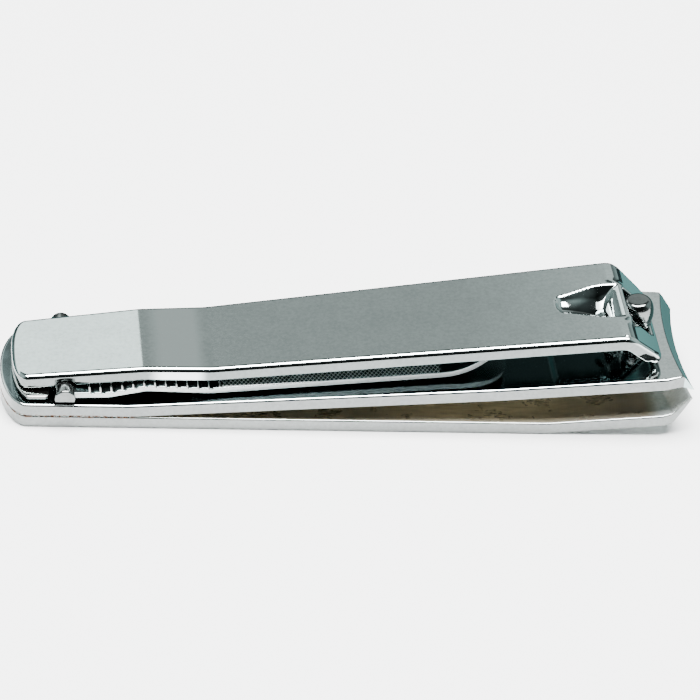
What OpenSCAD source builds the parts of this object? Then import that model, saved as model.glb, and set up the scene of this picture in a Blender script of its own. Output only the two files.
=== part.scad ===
// Fingernail clipper, shown with its lever stored flat over the arms.
// x runs from the rear end (0) to the jaws (clipper_length), y across, z up from the table.
// The part's origin is at the middle of the footprint, on the table.

/* [Arms] */
// Length from the rear end to the corners of the cutting edges
clipper_length = 60; // [50:0.5:75]
// Width of the arms where they are welded together
arm_rear_width = 11.4; // [9.5:0.1:14]
// Width of the arms at the post
arm_front_width = 13.8; // [11:0.1:16]
// Thickness of each arm
arm_thickness = 1.15; // [0.9:0.05:1.4]
// Depth of the rounded rear end of the arms
arm_rear_depth = 2.3; // [1:0.1:4]
// Length of the weld, from the rear end
weld_length = 11; // [8:0.5:14]
// Slope of both arms near the jaws, in degrees; the post leans back by the same angle
front_slope = 5.5; // [4:0.1:7]
// Length of the raised front stretch of the lower arm
lower_rise_length = 12.6; // [11:0.2:15.4]
// Length of the steeper front stretch of the upper arm
upper_rise_length = 17; // [13:0.5:20]

/* [Jaws] */
// Length of each cutting edge
edge_length = 12.4; // [9:0.1:13]
// Depth of the hollow curve of the cutting edges
edge_hollow = 0.55; // [0.2:0.05:1]
// Height of the lower cutting edge
lower_edge_height = 3.6; // [3.2:0.05:4]
// Opening between the cutting edges
jaw_opening = 0.9; // [0.5:0.05:1.2]
// Height of the upper arm's underside above the upper cutting edge
upper_jaw_drop = 0.6; // [0.4:0.05:0.9]
// Width of the flat ground on each cutting edge
edge_land = 0.15; // [0.08:0.01:0.25]

/* [Post] */
// Distance of the post from the corners of the cutting edges
post_setback = 4.2; // [3.5:0.1:6]
// Diameter of the post
post_diameter = 2.4; // [2:0.1:3]
// Height of the post above the upper arm
post_height = 3.92; // [3.6:0.02:4.4]
// Greatest diameter of the post's barrel-shaped head
head_diameter = 2.8; // [2.4:0.1:3.4]
// Diameter of the flat on top of the head
head_flat = 1.7; // [1:0.1:2]
// Length of the head
head_length = 2; // [1.6:0.1:2.2]
// Diameter of the foot under the lower arm
foot_diameter = 4.2; // [3.4:0.1:5]
// Thickness of the foot
foot_thickness = 0.5; // [0.4:0.05:0.6]

/* [Lever] */
// Thickness of the lever
lever_thickness = 1.2; // [1:0.05:1.4]
// Width of the lever at its rear end
lever_rear_width = 8.8; // [7.5:0.1:11]
// Width of the lever at its front bend
lever_front_width = 12.2; // [9:0.1:13]
// Width of the lever's front edge
lever_edge_width = 10.1; // [8:0.1:11]
// Gap between the rear ends of the lever and of the arms
lever_rear_gap = 1; // [0.6:0.1:2]
// Depth of the rounded rear end of the lever
lever_rear_depth = 1.5; // [0.8:0.1:3]
// Height of the lever's underside above the axis of the file's pin
pin_seat = 0.4; // [0.3:0.05:0.5]
// Distance of the front bend from the corners of the cutting edges
lever_bend_setback = 6.2; // [5.2:0.05:6.5]
// Height of the front bend above the upper arm's top at the post
lever_bend_height = 3.32; // [2.8:0.02:3.5]
// Distance of the lever's hook bar in front of the post's axis
hook_reach = 0.8; // [0.6:0.02:0.9]
// Height of the hook bar above the upper arm
hook_height = 0.88; // [0.75:0.01:1]
// Diameter of the hook bar
hook_diameter = 1.1; // [0.8:0.05:1.2]
// Width of the window around the post
window_width = 4.8; // [3.6:0.1:6]
// Thickness of the cross bar between window and pocket
cross_bar = 0.4; // [0.3:0.05:0.8]
// Length of the pressed pocket
pocket_length = 5; // [3:0.1:8]
// Depth of the pocket at its front
pocket_depth = 1.7; // [1:0.1:2]
// Width of the pocket at its rear
pocket_rear_width = 2.4; // [1.5:0.1:3.5]
// Thickness of the drawn wall of the pocket
pocket_wall = 0.7; // [0.5:0.05:1]
// Length of the level rear plate over the pin
rear_plate_length = 12.3; // [10:0.1:14]
// Length of the step between rear plate and main plate
step_length = 5.7; // [4:0.1:8]

/* [File] */
// Distance of the file's pin from the arms' rear end
pin_position = 5.45; // [4.8:0.05:6.5]
// Diameter of the pin
pin_diameter = 1.8; // [1.6:0.05:2]
// Height of the pin's axis above the upper arm
pin_height = 0.75; // [0.72:0.01:0.9]
// Height of the pin's axis above its flat
pin_flat = 0.25; // [0.15:0.01:0.35]
// Length of the pin
pin_length = 12; // [10:0.1:14]
// Diameter of the pin's neck in the retainer's hook
pin_neck = 0.6; // [0.5:0.02:0.7]
// Length of the neck
neck_length = 3.4; // [3:0.1:5]
// Thickness of the file
file_thickness = 0.56; // [0.45:0.01:0.65]
// Width of the file at the pin
file_root_width = 10.8; // [8:0.1:12]
// Width of the file where its tip begins to round
file_tip_width = 9.4; // [7:0.1:11]
// Distance between the file's tip and the pocket
file_tip_gap = 5; // [3:0.5:12]
// Length of the file's rounded tip
file_tip_length = 6; // [4:0.5:9]
// Distance of the file's hump from the arms' rear end
file_hump_position = 12.4; // [10:0.1:14]
// Height of the file above the upper arm along its straight stretch
file_gap = 0.34; // [0.25:0.01:0.6]
// Pitch of the coarse teeth across the file's edge
tooth_pitch = 0.93; // [0.7:0.01:1.5]

/* [Retainer] */
// Thickness of the retainer plate
retainer_thickness = 0.34; // [0.28:0.01:0.36]
// Width of the retainer plate
retainer_width = 10.4; // [7:0.1:11]
// Length of the retainer plate
retainer_length = 3.1; // [2.6:0.1:3.3]
// Width of the hook that holds the pin's neck
hook_width = 3; // [2:0.1:4.8]

/* [Fits] */
// Radial clearance of the post in the arms
post_clearance = 0.08; // [0.05:0.01:0.1]
// Radial clearance of the hook bar in the post's notch
notch_clearance = 0.05; // [0.03:0.01:0.1]
// Clearance between the head and the lever's window as the lever lifts
window_clearance = 0.06; // [0.05:0.01:0.15]
// Radial clearance round the file's pin
pin_clearance = 0.05; // [0.03:0.01:0.08]
// Gap between the foot and the lower arm, and between pieces that pass each other
side_clearance = 0.05; // [0.03:0.01:0.1]

/* [Hidden] */
$fn = 96;
far = 200;
steel = [0.77, 0.79, 0.79];
lever_steel = [0.62, 0.66, 0.66];
file_steel = [0.55, 0.58, 0.58];

// Arms: heights of the undersides along x
rise = tan(front_slope);
lower_rise_x = clipper_length - lower_rise_length;
upper_rise_x = clipper_length - upper_rise_length;
upper_edge_height = lower_edge_height + jaw_opening;
upper_root_height = upper_edge_height + upper_jaw_drop;
arm_depth = arm_thickness / cos(front_slope);
upper_mid_height = upper_root_height - upper_rise_length * rise;
mid_slope = (upper_mid_height - arm_thickness) / (upper_rise_x - weld_length);
arm_top_rear = 2 * arm_thickness;
mid_depth = arm_thickness * sqrt(1 + mid_slope * mid_slope);
function upper_under(x) =
    x < weld_length ? arm_thickness :
    x < upper_rise_x ? arm_thickness + mid_slope * (x - weld_length) :
    upper_mid_height + rise * (x - upper_rise_x);
function upper_top(x) =
    x < weld_length ? arm_top_rear :
    x < upper_rise_x ? upper_under(x) + mid_depth : upper_under(x) + arm_depth;
function lower_under(x) = x < lower_rise_x ? 0 : rise * (x - lower_rise_x);

// Jaws: the cutting edges lie on an upright cylinder in front of the clipper
edge_radius = edge_length * edge_length / (8 * edge_hollow) + edge_hollow / 2;
edge_centre_x = clipper_length - edge_hollow + edge_radius;
upper_outer_lean = 0.71;
upper_inner_lean = 1.9;
lower_outer_lean = 0.65;
lower_inner_lean = 1.09;

// Post: its frame starts where its axis meets the upper arm's top, and leans back by front_slope
post_x = clipper_length - post_setback;
post_top_z = upper_top(post_x);
post_radius = post_diameter / 2;
hook_x = post_x + hook_reach * cos(front_slope) - hook_height * sin(front_slope);
hook_z = post_top_z + hook_reach * sin(front_slope) + hook_height * cos(front_slope);
bar_radius = hook_diameter / 2;
head_radius = head_diameter / 2;
head_flat_radius = head_flat / 2;
head_lower_share = 0.45;
head_lower = head_lower_share * head_length;
head_upper = head_length - head_lower;
head_widest = post_height - head_upper;
head_profile = concat(
    [for (a = [0 : 10 : 80])
        [post_radius + (head_radius - post_radius) * sin(a), head_widest - head_lower * cos(a)]],
    [for (a = [0 : 10 : 90])
        [head_flat_radius + (head_radius - head_flat_radius) * cos(a), head_widest + head_upper * sin(a)]]);
window_radius = window_clearance
    + max([for (p = head_profile) norm([hook_reach + p[0], p[1] - hook_height])]);
foot_top = -(arm_depth + upper_under(post_x) - lower_under(post_x)) * cos(front_slope) - side_clearance;

// Lever: the line halfway through its thickness
front_bend = [clipper_length - lever_bend_setback, post_top_z + lever_bend_height];
rear_slope = 0.11;
step_rise = 0.1;
pin_z = arm_top_rear + pin_height;
half_lever = lever_thickness / 2;
rear_half = half_lever * sqrt(1 + rear_slope * rear_slope);
function rear_under(x) = pin_z + pin_seat + rear_slope * (x - pin_position);
rear_end = [lever_rear_gap, rear_under(lever_rear_gap) + rear_half];
step_start = [rear_plate_length, rear_under(rear_plate_length) + rear_half];
step_end = [rear_plate_length + step_length, step_start[1] + step_rise];
main_slope = (front_bend[1] - step_end[1]) / (front_bend[0] - step_end[0]);
main_angle = atan(main_slope);

// Pocket: turned about an axis that lies above the lever and along it
pocket_front_half = window_width / 2;
pocket_radius = (pocket_front_half * pocket_front_half + pocket_depth * pocket_depth) / (2 * pocket_depth);
pocket_axis = pocket_radius - pocket_depth;
pocket_rear_half = pocket_rear_width / 2;
pocket_rear_radius = norm([pocket_rear_half, pocket_axis]);
pocket_reach = sqrt(pow(window_radius + cross_bar, 2) - pow(front_bend[1] + half_lever - hook_z, 2))
    - (hook_x - front_bend[0]) + pocket_length;
pocket_rear_x = front_bend[0] - pocket_reach;

// File: the line halfway through its thickness
pin_radius = pin_diameter / 2;
file_flat_z = pin_z - pin_flat + file_thickness / 2;
file_flat_length = 3.7;
file_tip_x = pocket_rear_x - file_tip_gap;
file_lift_length = 6.4;
file_lift_x = file_tip_x - file_lift_length;
file_valley_x = rear_plate_length + step_length;
function file_run(x) = upper_top(x) + file_gap + file_thickness / 2;
file_lever_gap = 0.2;
file_hump_z = step_start[1] - half_lever - file_thickness / 2 - file_lever_gap;
file_tip_z = front_bend[1] - main_slope * (front_bend[0] - file_tip_x) - half_lever - file_thickness
    - file_lever_gap;

// Retainer: heights of its plate, and the hook under the pin's neck
retainer_x = lever_rear_gap;
retainer_gap = 0.22;
retainer_under = arm_top_rear + retainer_gap;
hook_wall = 0.22;
hook_inner = pin_neck / 2 + pin_clearance;

// A corner of a path replaced by an arc that touches both sides
function unit(v) = v / norm(v);
function turned(v, t) = [v[0] * cos(t) - v[1] * sin(t), v[0] * sin(t) + v[1] * cos(t)];
function arc_corner(a, b, c, r, n = 6) =
    let (u = unit(a - b), v = unit(c - b), half = acos(u * v) / 2,
         mid = b + unit(u + v) * r / sin(half), start = b + u * r / tan(half) - mid,
         side = -sign(u[0] * v[1] - u[1] * v[0]), sweep = side * (180 - 2 * half))
    [for (i = [0 : n]) mid + turned(start, sweep * i / n)];

// A path moved sideways by d, to its left for a positive d
function left(v) = [-v[1], v[0]];
function shifted(path, d) =
    [for (i = [0 : len(path) - 1])
        let (before = unit(path[max(i, 1)] - path[max(i, 1) - 1]),
             after = unit(path[min(i + 1, len(path) - 1)] - path[min(i + 1, len(path) - 1) - 1]),
             n = unit(left(before) + left(after)))
        path[i] + n * d / (n * left(before))];
function backwards(list) = [for (i = [len(list) - 1 : -1 : 0]) list[i]];
function ribbon(path, thickness) =
    concat(shifted(path, thickness / 2), backwards(shifted(path, -thickness / 2)));

// Half of a rounded end: from the middle line out to half_width, over depth
function round_end(half_width, depth, power = 1, n = 14) =
    [for (i = [0 : n]) let (a = 90 * i / n)
        [depth * (1 - pow(cos(a), power)), half_width * pow(sin(a), power)]];
// The other half of an outline that starts on the middle line
function mirrored(list) = [for (i = [len(list) - 1 : -1 : 1]) [list[i][0], -list[i][1]]];

module from_middle() { translate([-clipper_length / 2, 0, 0]) children(); }
// A side profile in x and z, extruded across the clipper
module across(width) { rotate([90, 0, 0]) linear_extrude(height = width, center = true) children(); }
// A plan outline in x and y, given by its left half, extruded up and down
module upright(half) { linear_extrude(height = far, center = true) polygon(concat(half, mirrored(half))); }
// A cylinder along y through a point in x and z
module cross_rod(x, z, r, width) {
    translate([x, 0, z]) rotate([90, 0, 0]) cylinder(r = r, h = width, center = true);
}
module post_frame() { translate([post_x, 0, post_top_z]) rotate([0, -front_slope, 0]) children(); }

module arm_outline() {
    corner_length = 2.6;
    corner = [clipper_length - corner_length, arm_front_width / 2];
    upright(concat(round_end(arm_rear_width / 2, arm_rear_depth), [corner, [clipper_length, edge_length / 2]]));
}

// Everything in front of a cone that starts offset behind the cutting edge and leans back over height
module before_jaw(edge_height, offset, lean, height) {
    root_radius = edge_radius + offset;
    end_radius = root_radius + lean * abs(height);
    translate([edge_centre_x, 0, 0]) rotate_extrude($fn = 720)
        polygon([[0, edge_height], [root_radius, edge_height], [end_radius, edge_height + height],
                 [0, edge_height + height]]);
}

module post_hole() {
    post_frame() cylinder(r = post_radius + post_clearance, h = far, center = true);
}

module lower_arm() {
    end_x = clipper_length + 1;
    drop = lower_edge_height + 1;
    color(steel) from_middle() difference() {
        intersection() {
            across(far) polygon([[0, 0], [lower_rise_x, 0], [end_x, lower_under(end_x)],
                                 [end_x, lower_edge_height], [0, lower_edge_height]]);
            arm_outline();
        }
        before_jaw(lower_edge_height, 0, lower_outer_lean, -drop);
        difference() {
            across(far) polygon([[-1, arm_thickness], [lower_rise_x, arm_thickness],
                                 [end_x, lower_under(end_x) + arm_depth], [end_x, far], [-1, far]]);
            before_jaw(lower_edge_height, edge_land, lower_inner_lean, -drop);
        }
        post_hole();
    }
}

module upper_arm() {
    end_x = clipper_length + 1;
    lift = 6;
    color(steel) from_middle() difference() {
        intersection() {
            across(far) polygon([[0, arm_thickness], [end_x, arm_thickness], [end_x, upper_top(end_x)],
                                 [upper_rise_x, upper_top(upper_rise_x)],
                                 [weld_length, arm_top_rear], [0, arm_top_rear]]);
            arm_outline();
        }
        before_jaw(upper_edge_height, 0, upper_outer_lean, lift);
        difference() {
            across(far) polygon([[weld_length, arm_thickness], [upper_rise_x, upper_mid_height],
                                 [end_x, upper_under(end_x)], [end_x, 0], [weld_length, 0]]);
            before_jaw(upper_edge_height, edge_land, upper_inner_lean, lift);
        }
        post_hole();
    }
}

module pivot_post() {
    notch_radius = bar_radius + notch_clearance;
    color(steel) from_middle() post_frame() difference() {
        rotate_extrude() polygon(concat(
            [[0, foot_top - foot_thickness], [foot_diameter / 2, foot_top - foot_thickness],
             [foot_diameter / 2, foot_top], [post_radius, foot_top]], head_profile, [[0, post_height]]));
        cross_rod(hook_reach, hook_height, notch_radius, far);
        translate([hook_reach, -far / 2, hook_height - notch_radius]) cube([far, far, 2 * notch_radius]);
    }
}

module lever_outline() {
    rear_power = 0.75;
    rear = round_end(lever_rear_width / 2, lever_rear_depth, rear_power);
    upright(concat([for (p = rear) p + [lever_rear_gap, 0]],
                   [[front_bend[0], lever_front_width / 2], [hook_x, lever_edge_width / 2],
                    [hook_x + half_lever, lever_edge_width / 2]]));
}

// The pocket's space, turned about the pocket's axis and grown by wall
module pocket_form(wall) {
    steps = 8;
    nose_x = pocket_reach - pocket_rear_half;
    sides = [for (i = [0 : steps]) let (u = i / steps)
        [pocket_rear_radius + (pocket_radius - pocket_rear_radius) * cos(90 * u) + wall, nose_x * u]];
    nose_radius = pocket_rear_radius + wall;
    nose = [for (i = [1 : steps]) let (a = 90 * i / steps)
        [nose_radius * cos(a), nose_x + nose_radius * sin(a)]];
    translate([front_bend[0], 0, front_bend[1]]) rotate([0, -main_angle, 0])
        translate([0, 0, half_lever + pocket_axis]) rotate([0, -90, 0])
            rotate_extrude() polygon(concat([[0, 0]], sides, nose));
}

module lever() {
    nose_steps = 12;
    hook = [hook_x, hook_z];
    path = concat([rear_end], arc_corner(rear_end, step_start, step_end, 5),
                  arc_corner(step_start, step_end, front_bend, 5),
                  arc_corner(step_end, front_bend, hook, 1.2), [hook]);
    forward = unit(hook - front_bend);
    nose = [for (i = [1 : nose_steps - 1]) let (a = 180 * i / nose_steps)
        hook + half_lever * (left(forward) * cos(a) + forward * sin(a))];
    profile = concat(shifted(path, half_lever), nose, backwards(shifted(path, -half_lever)));
    color(lever_steel) from_middle() union() {
        difference() {
            union() {
                intersection() {
                    across(far) polygon(profile);
                    lever_outline();
                }
                intersection() {
                    pocket_form(pocket_wall);
                    translate([front_bend[0], 0, front_bend[1]]) rotate([0, -main_angle, 0])
                        translate([-far / 2, -far / 2, -far]) cube([far, far, far]);
                }
            }
            cross_rod(hook_x, hook_z, window_radius, window_width);
            difference() {
                pocket_form(0);
                cross_rod(hook_x, hook_z, window_radius + cross_bar, far);
            }
            cross_rod(pin_position, pin_z, pin_radius + pin_clearance, far);
        }
        cross_rod(hook_x, hook_z, bar_radius, window_width + 1);
    }
}

module nail_file() {
    lift_steps = 8;
    slot_length = 1.2;
    tooth_radius = 0.14;
    tooth_depth = 0.09;
    bend_radius = 1;
    run_z = file_run(file_lift_x);
    root = [pin_position, file_flat_z];
    kink = [pin_position + file_flat_length, file_flat_z];
    hump = [file_hump_position, file_hump_z];
    valley = [file_valley_x, file_run(file_valley_x)];
    path = concat(
        [root], arc_corner(root, kink, hump, bend_radius),
        arc_corner(kink, hump, valley, bend_radius), [valley],
        [for (i = [0 : lift_steps]) let (u = i / lift_steps)
            [file_lift_x + u * file_lift_length,
             run_z + mid_slope * u * file_lift_length * (1 - u) + (file_tip_z - run_z) * u * u]]);
    hump_slope = (valley[1] - hump[1]) / (valley[0] - hump[0]);
    tooth_z = file_thickness / 2 + tooth_radius - tooth_depth;
    teeth = floor((file_valley_x - file_hump_position) / tooth_pitch);
    tip = round_end(file_tip_width / 2, file_tip_length);
    color(file_steel) from_middle() difference() {
        intersection() {
            across(far) polygon(ribbon(path, file_thickness));
            upright(concat([[0, 0], [0, file_root_width / 2], [pin_position, file_root_width / 2]],
                           backwards([for (p = tip) [file_tip_x - p[0], p[1]]])));
        }
        cross_rod(pin_position, pin_z, pin_radius, far);
        translate([0, -neck_length / 2, 0]) cube([pin_position + slot_length, neck_length, far]);
        for (i = [1 : teeth]) let (along = i * tooth_pitch - tooth_pitch / 2)
            cross_rod(hump[0] + along, hump[1] + hump_slope * along + tooth_z, tooth_radius, far);
    }
}

module file_pin() {
    neck_overlap = 0.2;
    color(file_steel) from_middle() union() {
        difference() {
            cross_rod(pin_position, pin_z, pin_radius, pin_length);
            translate([0, -far / 2, pin_z - pin_flat - far]) cube([far, far, far]);
            translate([0, -neck_length / 2, 0]) cube([far, neck_length, far]);
        }
        cross_rod(pin_position, pin_z, pin_neck / 2, neck_length + 2 * neck_overlap);
    }
}

module file_retainer() {
    pad_width = 4.4;
    pad_inset = 0.8;
    overlap = 0.5;
    plate_end = retainer_x + retainer_length;
    pad = [retainer_x + pad_inset, plate_end - pad_inset / 2];
    pad_under = retainer_under + retainer_thickness / 2;
    hook_x0 = plate_end - overlap;
    hook_back = pin_position - hook_inner;
    hook_outer = hook_inner + hook_wall;
    color(steel) from_middle() union() {
        intersection() {
            translate([retainer_x, -far / 2, retainer_under])
                cube([retainer_length, far, retainer_thickness]);
            upright(concat([for (p = round_end(retainer_width / 2, lever_rear_depth)) p + [retainer_x, 0]],
                           [[plate_end, retainer_width / 2]]));
        }
        across(pad_width) polygon([[pad[0], pad_under], [pad[1], pad_under],
                                   [pad[1], rear_under(pad[1])], [pad[0], rear_under(pad[0])]]);
        difference() {
            union() {
                cross_rod(pin_position, pin_z, hook_outer, hook_width);
                translate([hook_x0, -hook_width / 2, retainer_under])
                    cube([hook_back - hook_x0, hook_width, retainer_thickness]);
            }
            cross_rod(pin_position, pin_z, hook_inner, far);
            translate([pin_position - hook_outer, -far / 2, pin_z]) cube([far, far, far]);
        }
    }
}

lower_arm();
upper_arm();
pivot_post();
lever();
nail_file();
file_pin();
file_retainer();
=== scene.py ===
"""Fingernail clipper, stored flat: every visible piece of it, its finish, the studio and the camera."""
import math

import bpy
import bmesh
import numpy as np
from mathutils import Matrix, Vector, geometry


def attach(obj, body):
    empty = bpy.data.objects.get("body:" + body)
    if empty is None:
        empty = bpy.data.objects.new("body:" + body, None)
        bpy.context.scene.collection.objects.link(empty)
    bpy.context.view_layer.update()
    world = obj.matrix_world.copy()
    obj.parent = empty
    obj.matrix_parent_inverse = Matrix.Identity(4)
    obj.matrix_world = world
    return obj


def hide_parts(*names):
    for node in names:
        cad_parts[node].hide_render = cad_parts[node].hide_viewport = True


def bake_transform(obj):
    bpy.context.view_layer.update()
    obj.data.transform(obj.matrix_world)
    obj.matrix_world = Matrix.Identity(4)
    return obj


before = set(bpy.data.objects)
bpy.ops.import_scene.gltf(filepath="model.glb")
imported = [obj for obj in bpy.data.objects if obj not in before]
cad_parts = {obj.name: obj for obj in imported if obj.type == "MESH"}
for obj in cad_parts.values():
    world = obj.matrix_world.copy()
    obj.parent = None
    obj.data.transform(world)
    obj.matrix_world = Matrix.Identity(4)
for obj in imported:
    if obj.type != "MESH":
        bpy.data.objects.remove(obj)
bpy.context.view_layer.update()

# ---- Camera: a long lens from the near long side, a little toward the rear end, 35 degrees above the table.
azimuth, elevation, roll = np.radians([-8.421, 34.872, 5.088])
distance, shift_right, shift_up = 0.32284, 0.000773, 0.003427
flat_back = np.array([np.sin(azimuth), -np.cos(azimuth), 0.0]) * np.cos(elevation)
back = flat_back + [0.0, 0.0, np.sin(elevation)]
level_right = np.array([np.cos(azimuth), np.sin(azimuth), 0.0])
level_up = np.cross(back, level_right)
right = level_right * np.cos(roll) + level_up * np.sin(roll)
up = level_up * np.cos(roll) - level_right * np.sin(roll)
lens = bpy.data.cameras.new("camera")
lens.sensor_width = 36
lens.lens = 188.52
camera = bpy.data.objects.new("camera", lens)
bpy.context.collection.objects.link(camera)
place = back * distance + right * shift_right + up * shift_up
camera.matrix_world = Matrix([[*row] for row in np.column_stack([right, up, back, place])] + [[0, 0, 0, 1]])
bpy.context.scene.camera = camera


# ---- Lower arm: a strip of spring steel, 1.15 mm thick, raised at the front and ground to a hollow blade.
# Its edges are tumbled, its faces polished and chromed, and the rear 11 mm are welded to the upper arm.
def smooth(value, low, high):
    """0 below low, 1 above high, and the cubic 3t^2 - 2t^3 between them."""
    t = np.clip((value - low) / (high - low), 0, 1)
    return t * t * (3 - 2 * t)


def soft_min(a, b, k):
    """The lower of a and b, with the corner between them rounded over about k."""
    return 0.5 * (a + b - np.sqrt((a - b) ** 2 + k * k))


def soft_max(a, b, k):
    """The higher of a and b, with the corner between them rounded over about k."""
    return 0.5 * (a + b + np.sqrt((a - b) ** 2 + k * k))


def ramp_from(a, k):
    """0 below -k, a above k, and the parabola (a + k)^2 / 4k between them."""
    return np.where(a > k, a, np.clip(a + k, 0, None) ** 2 / (4 * k))


def resampled(points, step):
    """A closed loop through the points, corners kept, with each side in equal parts of about step."""
    points = np.asarray(points, float)
    points = points[np.linalg.norm(points - np.roll(points, 1, axis=0), axis=1) > 1e-6]
    result = []
    for a, b in zip(points, np.roll(points, -1, axis=0)):
        count = max(1, int(round(np.linalg.norm(b - a) / step)))
        result.append(a + (b - a) * np.arange(count)[:, None] / count)
    return np.concatenate(result)


def rounded(points, radii, steps=10):
    """The closed polygon with each corner replaced by an arc of its radius that touches both sides."""
    points = np.asarray(points, float)
    result = []
    for i, (corner, radius) in enumerate(zip(points, radii)):
        u = points[i - 1] - corner
        v = points[(i + 1) % len(points)] - corner
        u, v = u / np.linalg.norm(u), v / np.linalg.norm(v)
        half = math.acos(np.clip(u @ v, -1, 1)) / 2
        if radius == 0 or half > 1.55:
            result.append(corner)
            continue
        middle = corner + (u + v) / np.linalg.norm(u + v) * radius / math.sin(half)
        reach = radius / math.tan(half)
        first, last = corner + u * reach - middle, corner + v * reach - middle
        for t in np.linspace(0, 1, steps):
            arm = first * (1 - t) + last * t
            result.append(middle + arm / np.linalg.norm(arm) * radius)
    return np.array(result)


def inward(loop):
    """Unit vectors to the left of the way of travel, halfway between the sides that meet at each point."""
    ahead = np.roll(loop, -1, axis=0) - loop
    ahead /= np.linalg.norm(ahead, axis=1)[:, None]
    mean = ahead + np.roll(ahead, 1, axis=0)
    mean /= np.linalg.norm(mean, axis=1)[:, None]
    return np.stack([-mean[:, 1], mean[:, 0]], axis=1)


def inside(loops, points):
    """True for the points that an odd number of the loops' sides lie to the right of."""
    odd = np.zeros(len(points), bool)
    for loop in loops:
        a, b = loop, np.roll(loop, -1, axis=0)
        for (x0, y0), (x1, y1) in zip(a, b):
            if y0 != y1:
                crosses = (y0 > points[:, 1]) != (y1 > points[:, 1])
                odd ^= crosses & (points[:, 0] < x0 + (points[:, 1] - y0) * (x1 - x0) / (y1 - y0))
    return odd


def left_of(sides, faces):
    """The triangles to the left of the sides, and those reached from them without crossing a side."""
    owner = {}
    for i, (a, b, c) in enumerate(faces.tolist()):
        owner[a, b] = owner[b, c] = owner[c, a] = i
    fence, kept = set(sides), set()
    waiting = [owner[side] for side in sides if side in owner]
    while waiting:
        i = waiting.pop()
        if i in kept:
            continue
        kept.add(i)
        a, b, c = faces[i].tolist()
        for start, end in ((a, b), (b, c), (c, a)):
            if (start, end) not in fence and (end, start) in owner:
                waiting.append(owner[end, start])
    return faces[sorted(kept)]


def sheet_faces(loops, grid):
    """A triangulated sheet between the loops, using the grid points that lie well inside them."""
    edge_points = np.concatenate(loops)
    spacing = np.concatenate([np.linalg.norm(loop - np.roll(loop, -1, axis=0), axis=1) for loop in loops])
    reach = (0.65 * np.maximum(spacing, 0.08)) ** 2
    grid = grid[inside(loops, grid)]
    clear = np.ones(len(grid), bool)
    for start in range(0, len(grid), 2000):
        block = grid[start:start + 2000]
        gap = np.min(np.sum((block[:, None] - edge_points[None]) ** 2, axis=2) - reach, axis=1)
        clear[start:start + 2000] = gap > 0
    points = np.concatenate([edge_points, grid[clear]])
    sides, first = [], 0
    for loop in loops:
        index = np.arange(len(loop))
        sides += [(int(first + i), int(first + (i + 1) % len(loop))) for i in index]
        first += len(loop)
    _, _, faces, origin, _, _ = geometry.delaunay_2d_cdt(
        [Vector(p) for p in points.tolist()], sides, [], 0, 1e-7)
    back_to = [o[0] for o in origin]
    return points, left_of(sides, np.array([[back_to[i] for i in face] for face in faces]))


def mesh_object(name, vertices, faces, marks=None):
    """A closed smooth-shaded mesh from vertices in millimetres, with its faces turned outwards.

    marks gives each vertex 1 on the upper face, -1 on the underside and 0 on the side walls.
    """
    mesh = bpy.data.meshes.new(name)
    mesh.from_pydata((np.asarray(vertices) * 0.001).tolist(), [], [list(map(int, face)) for face in faces])
    if marks is not None:
        mesh.attributes.new("facing", "FLOAT", "POINT").data.foreach_set("value", marks.astype(np.float32))
    work = bmesh.new()
    work.from_mesh(mesh)
    bmesh.ops.remove_doubles(work, verts=work.verts, dist=2e-7)
    bmesh.ops.recalc_face_normals(work, faces=work.faces)
    if work.calc_volume(signed=True) < 0:
        bmesh.ops.reverse_faces(work, faces=work.faces)
    work.to_mesh(mesh)
    work.free()
    mesh.shade_smooth()
    piece = bpy.data.objects.new(name, mesh)
    bpy.context.collection.objects.link(piece)
    return piece


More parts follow.
